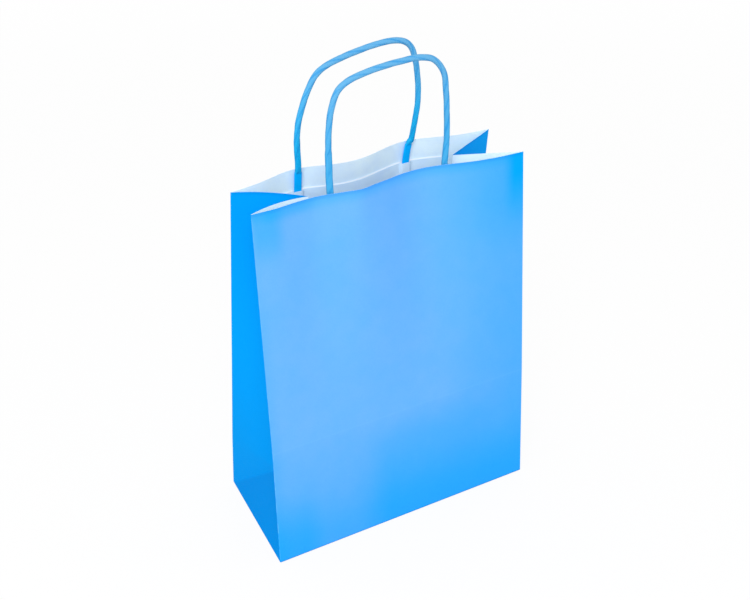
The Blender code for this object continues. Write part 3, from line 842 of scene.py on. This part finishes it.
def rope_section(turn, pressed, seed):
    """One cross-section: the folds of the twisted paper, or the flat shape of a pressed end."""
    points = []
    for i in range(ROPE_SIDES):
        angle = 2 * math.pi * i / ROPE_SIDES
        wave = 0.5 - 0.5 * math.cos(ROPE_LOBES * (angle - turn))
        round_x = math.cos(angle - turn) * WRINKLES_ROUND
        round_y = math.sin(angle - turn) * WRINKLES_ROUND
        wrinkle = noise.noise(Vector((round_x, round_y, seed)))
        groove = ROPE_GROOVE * (wave**3 + ROPE_WANDER * wrinkle)
        radius = ROPE_DIAMETER / 2 - groove
        across = math.cos(angle)
        outward = math.sin(angle)
        flat_across = math.copysign(abs(across) ** PRESS_SQUARENESS, across) * ROPE_FLAT_WIDTH / 2
        flat_outward = math.copysign(abs(outward) ** PRESS_SQUARENESS, outward) * ROPE_FLAT_THICKNESS / 2
        x = mix(radius * across, flat_across, pressed)
        points.append((x, mix(radius * outward, flat_outward, pressed), groove / ROPE_GROOVE))
    return points


def make_rope(face, name, material):
    """The rope, round in the loop and pressed flat from just below the rim to its ends."""
    line = smooth_line(rope_route(face), ROPE_RING)
    spacing = (line[1] - line[0]).length
    foot = STRIP_DROP + ROPE_END_DEPTH
    bm = bmesh.new()
    groove_layer = bm.verts.layers.float.new("groove")
    flat_layer = bm.verts.layers.float.new("flat")
    loop_layer = bm.verts.layers.float.new("loop")
    rings = []
    for i, centre in enumerate(line):
        side = LEFT if i < len(line) / 2 else RIGHT
        past_foot = min(i, len(line) - 1 - i) * spacing - foot
        reach, part = PART_PRESS[face, side]
        flat = 1 - ease(past_foot / ROPE_PRESS_RUN + 1)
        pressed = max(flat, part * (1 - ease((past_foot - reach) / PART_PRESS_RUN)))
        heading = (line[min(i + 1, len(line) - 1)] - line[max(i - 1, 0)]).normalized()
        facing = panel_facing(face, handle_legs(face)[0 if side == LEFT else 1], max(-past_foot, 0.0))
        facing = facing.lerp(Vector((0.0, 1.0, 0.0)), ease(past_foot / ROPE_TURN_RUN))
        across = facing.cross(heading).normalized()
        outward = heading.cross(across)
        run = i * spacing
        turn = 2 * math.pi * run / ROPE_TWIST
        seed = run / WRINKLE_LENGTH + WRINKLE_SEED * face
        ring = []
        for sideways, out, groove in rope_section(turn, pressed, seed):
            vert = bm.verts.new(centre + across * sideways + outward * out)
            vert[groove_layer] = groove
            vert[flat_layer] = flat
            vert[loop_layer] = (vert.co.z - BAG_HEIGHT) / handle_rise(face)
            ring.append(vert)
        rings.append(ring)
    for ring, after in zip(rings, rings[1:]):
        for i in range(ROPE_SIDES):
            j = (i + 1) % ROPE_SIDES
            bm.faces.new((ring[i], ring[j], after[j], after[i]))
    bm.faces.new(rings[0][::-1])
    bm.faces.new(rings[-1])
    return finish_mesh(name, bm, [material], ROPE_SHARP_ANGLE)


def strip_places(face):
    """Columns across a strip: even steps, and close ones where the cover rises over a rope's end."""
    legs = handle_legs(face)
    bump = ROPE_FLAT_WIDTH / 2 + TOUCH_GAP
    fixed = [legs[0] - STRIP_MARGIN, legs[1] + STRIP_MARGIN]
    for leg in legs:
        for step in range(FOLD_STEPS + 1):
            offset = bump + STRIP_SHOULDER * step / FOLD_STEPS
            fixed += [leg - offset, leg + offset]
    count = round((fixed[1] - fixed[0]) / STRIP_COLUMN)
    even = [mix(fixed[0], fixed[1], i / count) for i in range(1, count)]
    # An even column that would crowd a fixed one is left out
    clear = [x for x in even if min(abs(x - other) for other in fixed) > STRIP_COLUMN / 3]
    return sorted(fixed + clear)


def strip_drops(covers_rope):
    """Rows down a strip: even steps, and close ones where the cover comes off the rope's end."""
    top = STRIP_DROP + (COVER_SET_BACK if covers_rope else 0.0)
    end = STRIP_DROP + ROPE_END_DEPTH
    bump = end + TOUCH_GAP
    middle = [mix(top, end, (i + 1) / STRIP_ROWS) for i in range(STRIP_ROWS)]
    shoulder = [bump + STRIP_SHOULDER * i / FOLD_STEPS for i in range(FOLD_STEPS + 1)]
    return [top] + middle + shoulder + [end + STRIP_FOOT]


def cover_bump(face, x, drop):
    """How far the cover stands off to pass over the rope's pressed ends."""
    beside = min(abs(x - leg) for leg in handle_legs(face)) - ROPE_FLAT_WIDTH / 2 - TOUCH_GAP
    below = drop - STRIP_DROP - ROPE_END_DEPTH - TOUCH_GAP
    near = (1 - ease(beside / STRIP_SHOULDER)) * (1 - ease(below / STRIP_SHOULDER))
    return near * (ROPE_FLAT_THICKNESS + TOUCH_GAP)


def make_strip(face, name, covers_rope, material):
    """A paper strip along the panel's inner face: the backing, or the cover over the rope."""
    places = strip_places(face)
    drops = strip_drops(covers_rope)
    bm = bmesh.new()
    skins = []
    for thickness in (0.0, STRIP_PAPER):
        skin = []
        for drop in drops:
            row = []
            for x in places:
                lift = STRIP_BED + cover_bump(face, x, drop) if covers_rope else TOUCH_GAP
                row.append(bm.verts.new(inside_point(face, x, drop, lift + thickness)))
            skin.append(row)
        skins.append(skin)
    under, over = skins
    rows = len(drops)
    count = len(places)
    for skin in skins:
        for r in range(rows - 1):
            for c in range(count - 1):
                bm.faces.new((skin[r][c], skin[r][c + 1], skin[r + 1][c + 1], skin[r + 1][c]))
    for c in range(count - 1):
        for r in (0, rows - 1):
            bm.faces.new((under[r][c], under[r][c + 1], over[r][c + 1], over[r][c]))
    for r in range(rows - 1):
        for c in (0, count - 1):
            bm.faces.new((under[r][c], under[r + 1][c], over[r + 1][c], over[r][c]))
    return finish_mesh(name, bm, [material], STRIP_SHARP_ANGLE)


# Materials


def add_node(tree, kind, inputs=None, **settings):
    """A shader node; an input is given a value, or another node's output socket."""
    node = tree.nodes.new(kind)
    for name, value in settings.items():
        setattr(node, name, value)
    for name, value in (inputs or {}).items():
        if isinstance(value, bpy.types.NodeSocket):
            tree.links.new(value, node.inputs[name])
        else:
            node.inputs[name].default_value = value
    return node


def calculate(tree, operation, first, second=0.0, clamp=False):
    node = add_node(tree, "ShaderNodeMath", {0: first, 1: second}, operation=operation, use_clamp=clamp)
    return node.outputs[0]


def fade(tree, value, low, high, from_amount=0.0, to_amount=1.0):
    """A smooth change of amount as value goes from low to high."""
    inputs = {
        "Value": value, "From Min": low, "From Max": high, "To Min": from_amount, "To Max": to_amount,
    }
    return add_node(tree, "ShaderNodeMapRange", inputs, interpolation_type="SMOOTHSTEP").outputs[0]


def blend_colours(tree, amount, first, second):
    """The mix node takes colours at its inputs 6 and 7, and gives their mix at its output 2."""
    return add_node(tree, "ShaderNodeMix", {0: amount, 6: first, 7: second}, data_type="RGBA").outputs[2]


def blend_values(tree, amount, first, second):
    """The mix node takes plain values at its inputs 2 and 3, and gives their mix at its output 0."""
    return add_node(tree, "ShaderNodeMix", {0: amount, 2: first, 3: second}).outputs[0]


def mark(tree, name):
    """A value that the mesh carries at its points."""
    return add_node(tree, "ShaderNodeAttribute", attribute_name=name).outputs["Fac"]


def grain(tree, cells, detail, stretch=(1.0, 1.0, 1.0)):
    """Noise in the bag's own space, with so many cells in a metre."""
    coords = add_node(tree, "ShaderNodeTexCoord").outputs["Object"]
    mapped = add_node(tree, "ShaderNodeMapping", {"Vector": coords, "Scale": stretch}).outputs[0]
    inputs = {"Vector": mapped, "Scale": cells, "Detail": detail, "Roughness": GRAIN_ROUGHNESS}
    return add_node(tree, "ShaderNodeTexNoise", inputs).outputs["Fac"]


def start_material(name):
    """A new material, its node tree and its shader."""
    material = bpy.data.materials.new(name)
    material.use_nodes = True
    tree = material.node_tree
    return material, tree, tree.nodes["Principled BSDF"]


def finish_paper(tree, shader, colour, specular, roughness, relief):
    """Colour, gloss, and relief: fine fibres, and faint upright ribs from the paper's making."""
    tree.links.new(colour, shader.inputs["Base Color"])
    uneven = fade(tree, grain(tree, *GLOSS_GRAIN), *GLOSS_SPAN, *roughness)
    tree.links.new(uneven, shader.inputs["Roughness"])
    shader.inputs["Specular IOR Level"].default_value = specular
    fibre_depth, rib_depth = relief
    inputs = {"Height": grain(tree, *FIBRE_GRAIN), "Distance": fibre_depth, "Strength": 1.0}
    fibres = add_node(tree, "ShaderNodeBump", inputs).outputs[0]
    inputs = {"Height": grain(tree, *RIB_GRAIN), "Distance": rib_depth, "Strength": 1.0, "Normal": fibres}
    ribs = add_node(tree, "ShaderNodeBump", inputs).outputs[0]
    tree.links.new(ribs, shader.inputs["Normal"])


def ridge(tree, value, rise, fall):
    """1 between the two fades and 0 outside them."""
    return calculate(tree, "MULTIPLY", fade(tree, value, *rise), fade(tree, value, *fall, 1.0, 0.0))


def weaken(tree, amount, *parts):
    """What is left of 1 where amount is taken off, as far as all the parts reach."""
    for part in parts:
        amount = calculate(tree, "MULTIPLY", amount, part)
    return calculate(tree, "SUBTRACT", 1.0, amount)


def foot_paleness(tree, across, up):
    """The panel's painted sheen fades towards its foot, so it gets deeper there: most on the right, least
    left of its middle.
    """
    left, middle, right = (
        calculate(tree, "ADD", fade(tree, up, *main), fade(tree, up, *rest))
        for main, rest in (FOOT_LEFT, FOOT_MIDDLE, FOOT_RIGHT)
    )
    left = blend_values(tree, fade(tree, across, *FOOT_LEFT_TO_MIDDLE), left, middle)
    return blend_values(tree, fade(tree, across, *FOOT_MIDDLE_TO_RIGHT), left, right)


def painted_sheen_share(tree):
    """The pale cast, a painted sheen: strong in a panel's middle, weak at its foot, its rim and its right.

    The front has all of it, the back less, and the sides have none.
    """
    across = mark(tree, "across")
    up = mark(tree, "up")
    left = fade(tree, across, *LEFT_EDGE)
    low_right = fade(tree, across, *RIGHT_LOW)
    high_right = fade(tree, across, *RIGHT_HIGH)
    right = blend_values(tree, fade(tree, up, *UPPER_PART), low_right, high_right)
    right = blend_values(tree, fade(tree, up, *LOWER_PART), 1.0, right)
    left_dip = ridge(tree, across, LEFT_DIP_RISE, LEFT_DIP_FALL)
    left_corner = weaken(tree, LEFT_DIP, left_dip, fade(tree, up, *LEFT_DIP_HEIGHT))
    left_rim = ridge(tree, across, LEFT_RIM_RISE, LEFT_RIM_FALL)
    left_rim = weaken(tree, LEFT_RIM, left_rim, fade(tree, up, *LEFT_RIM_HEIGHT))
    right_corner = weaken(tree, 1.0, fade(tree, across, *RIGHT_CORNER), fade(tree, up, *RIGHT_CORNER_HEIGHT))
    rim = fade(tree, up, *RIM_HEIGHT)
    share = PALEST
    for factor in (left, right, left_corner, left_rim, right_corner, foot_paleness(tree, across, up), rim):
        share = calculate(tree, "MULTIPLY", share, factor)
    broad = fade(tree, grain(tree, *BROAD_MOTTLE_GRAIN), *BROAD_MOTTLE)
    fine = fade(tree, grain(tree, *FINE_MOTTLE_GRAIN), *FINE_MOTTLE)
    share = calculate(tree, "MULTIPLY", share, calculate(tree, "ADD", broad, fine), clamp=True)
    return calculate(tree, "MULTIPLY", share, mark(tree, "panel"))


def blue_shade(tree, up):
    """Painted shade on the blue paper: lines at the foot and the rim, and the low parts behind the front.

    The end triangles add painted shade too, and small random specks of darker tone add to it.
    """
    behind = calculate(tree, "SUBTRACT", 1.0, mark(tree, "front"))
    shade = calculate(tree, "MULTIPLY", fade(tree, up, *LOW_SHADE), behind)
    shade = calculate(tree, "ADD", shade, calculate(tree, "MULTIPLY", mark(tree, "triangle"), END_SHADE))
    shade = calculate(tree, "MAXIMUM", shade, fade(tree, up, *FOOT_SHADE))
    shade = calculate(tree, "MAXIMUM", shade, fade(tree, up, *RIM_SHADE))
    return calculate(tree, "ADD", shade, fade(tree, grain(tree, *SPECK_GRAIN), *SPECKS))


def blue_fold_highlight(tree, up):
    """Painted highlight in patches along the blue paper's upright edges, and a paler line on the imprint."""
    imprint = calculate(tree, "ABSOLUTE", calculate(tree, "SUBTRACT", up, IMPRINT_HEIGHT))
    imprint = calculate(tree, "MULTIPLY", fade(tree, imprint, *IMPRINT_LINE), mark(tree, "front"))
    fold_highlight = fade(tree, mark(tree, "edge"), *FOLD_HIGHLIGHT)
    fold_highlight = calculate(tree, "MULTIPLY", fold_highlight, fade(tree, grain(tree, *HIGHLIGHT_PATCH_GRAIN), *HIGHLIGHT_PATCHES))
    return calculate(tree, "MAXIMUM", fold_highlight, imprint)


def blue_paper():
    """The outside: smooth blue paper with painted sheen, painted shade, painted fold highlights and a paler
    imprint line.
    """
    material, tree, shader = start_material("blue_paper")
    up = mark(tree, "up")
    colour = blend_colours(tree, painted_sheen_share(tree), DEEP_BLUE, SHEEN_BLUE)
    colour = blend_colours(tree, blue_shade(tree, up), colour, SHADED_BLUE)
    colour = blend_colours(tree, blue_fold_highlight(tree, up), colour, FOLD_HIGHLIGHT_BLUE)
    finish_paper(tree, shader, colour, **BLUE_SURFACE)
    return material


def white_paper(name, colour, shade):
    """Uncoated white paper with clouds of thicker and thinner stock."""
    material, tree, shader = start_material(name)
    clouds = fade(tree, grain(tree, *CLOUD_GRAIN), *CLOUDS)
    mixed = blend_colours(tree, clouds, colour, shade)
    pulp = fade(tree, grain(tree, *PULP_GRAIN), *PULP)
    finish_paper(tree, shader, blend_colours(tree, pulp, mixed, shade), **WHITE_SURFACE)
    return material


def rope_paper(name, low):
    """Blue paper rolled and twisted: painted shade deep in its folds, deep at its flat ends, pale on the
    loop.
    """
    material, tree, shader = start_material(name)
    colour = blend_colours(tree, fade(tree, mark(tree, "loop"), *LOOP_PALENESS), low, ROPE_HIGH)
    # Painted shade in the rope's grooves, shifted either way by random streaks
    fold = fade(tree, mark(tree, "groove"), *GROOVE_SHADE)
    streaks = fade(tree, grain(tree, *STREAK_GRAIN), *STREAKS)
    fold = calculate(tree, "ADD", fold, streaks, clamp=True)
    colour = blend_colours(tree, fold, colour, ROPE_SHADED_BLUE)
    colour = blend_colours(tree, mark(tree, "flat"), colour, ROPE_FLAT)
    finish_paper(tree, shader, colour, **ROPE_SURFACE)
    return material


# The pieces


def put(piece, node):
    """The piece takes the place of the CAD's node, and rides on the one body."""
    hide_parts(node)
    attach(piece, "root")


def make_object():
    blue = blue_paper()
    inside = white_paper("inside_paper", INNER_WHITE, INNER_SHADE)
    edge = white_paper("cut_edge", EDGE_WHITE, EDGE_SHADE)
    backing = white_paper("backing_paper", BACKING_WHITE, BACKING_SHADE)
    cover = white_paper("cover_paper", COVER_WHITE, COVER_SHADE)
    ropes = {
        FRONT: rope_paper("rope_paper_front", ROPE_LOW_FRONT),
        BACK: rope_paper("rope_paper_back", ROPE_LOW_BACK),
    }
    put(make_bag([blue, inside, edge]), "bag")
    for face, place in ((FRONT, "front"), (BACK, "back")):
        put(make_strip(face, "backing_" + place, False, backing), "backing_strip_" + place)
        put(make_rope(face, "rope_" + place, ropes[face]), "handle_" + place)
        put(make_strip(face, "cover_" + place, True, cover), "cover_strip_" + place)


# Stage, light and camera


def seen_directly(tree):
    """1 for the camera's view, also in gloss and through glass, and 0 for light on its way."""
    path = add_node(tree, "ShaderNodeLightPath")
    seen = calculate(tree, "MAXIMUM", path.outputs["Is Camera Ray"], path.outputs["Is Glossy Ray"])
    return calculate(tree, "MAXIMUM", seen, path.outputs["Is Transmission Ray"])


def make_floor():
    """A white floor that keeps a faint shadow, and meets the white background."""
    mesh = bpy.data.meshes.new("floor")
    signs = ((-1, -1), (1, -1), (1, 1), (-1, 1))
    corners = [(x * FLOOR_REACH, y * FLOOR_REACH, 0.0) for x, y in signs]
    mesh.from_pydata(corners, [], [(0, 1, 2, 3)])
    floor = bpy.data.objects.new("floor", mesh)
    bpy.context.collection.objects.link(floor)
    material, tree, shader = start_material("floor_white")
    shader.inputs["Base Color"].default_value = FLOOR_GREY
    shader.inputs["Roughness"].default_value = FLOOR_ROUGHNESS
    shader.inputs["Specular IOR Level"].default_value = FLOOR_SPECULAR
    white = add_node(tree, "ShaderNodeEmission", {"Strength": 1.0})
    place = add_node(tree, "ShaderNodeTexCoord").outputs["Object"]
    distance = add_node(tree, "ShaderNodeVectorMath", {0: place}, operation="LENGTH").outputs["Value"]
    whiteness = fade(tree, distance, SHADOW_REACH, WHITE_REACH, FLOOR_WHITENESS, 1.0)
    amount = calculate(tree, "MULTIPLY", seen_directly(tree), whiteness)
    mixed = add_node(tree, "ShaderNodeMixShader", {0: amount, 1: shader.outputs[0], 2: white.outputs[0]})
    tree.links.new(mixed.outputs[0], tree.nodes["Material Output"].inputs["Surface"])
    mesh.materials.append(material)


def make_world():
    """White where it is seen, and a plain soft light on the bag."""
    world = bpy.data.worlds.new("studio")
    world.use_nodes = True
    bpy.context.scene.world = world
    tree = world.node_tree
    strength = fade(tree, seen_directly(tree), 0.0, 1.0, WORLD_LIGHT, 1.0)
    background = tree.nodes["Background"]
    background.inputs["Color"].default_value = WORLD_WHITE
    tree.links.new(strength, background.inputs["Strength"])


def make_light():
    """One large soft lamp, on the left, in front and above."""
    data = bpy.data.lights.new("key", "AREA")
    data.shape = "DISK"
    data.size = KEY_SIZE
    data.energy = KEY_ENERGY
    key = bpy.data.objects.new("key", data)
    key.location = KEY_PLACE
    key.rotation_mode = "QUATERNION"
    key.rotation_quaternion = (KEY_AIM - KEY_PLACE).to_track_quat("-Z", "Y")
    bpy.context.collection.objects.link(key)


def make_camera():
    """The camera looks down on the bag from its left front corner."""
    right = Vector((math.cos(CAMERA_YAW), -math.sin(CAMERA_YAW), 0.0))
    level = Vector((math.sin(CAMERA_YAW), math.cos(CAMERA_YAW), 0.0))
    ahead = level * math.cos(CAMERA_PITCH) - Vector((0.0, 0.0, math.sin(CAMERA_PITCH)))
    up = right.cross(ahead)
    data = bpy.data.cameras.new("camera")
    data.sensor_width = CAMERA_SENSOR
    data.lens = CAMERA_LENS
    camera = bpy.data.objects.new("camera", data)
    place = right * CAMERA_AIM_RIGHT + up * CAMERA_AIM_UP - ahead * CAMERA_DISTANCE
    turn = Matrix((right, up, -ahead)).transposed().to_4x4()
    camera.matrix_world = Matrix.Translation(place) @ turn
    bpy.context.collection.objects.link(camera)
    bpy.context.scene.camera = camera


make_camera()
make_object()
make_floor()
make_world()
make_light()
bpy.context.scene.view_settings.view_transform = "Standard"
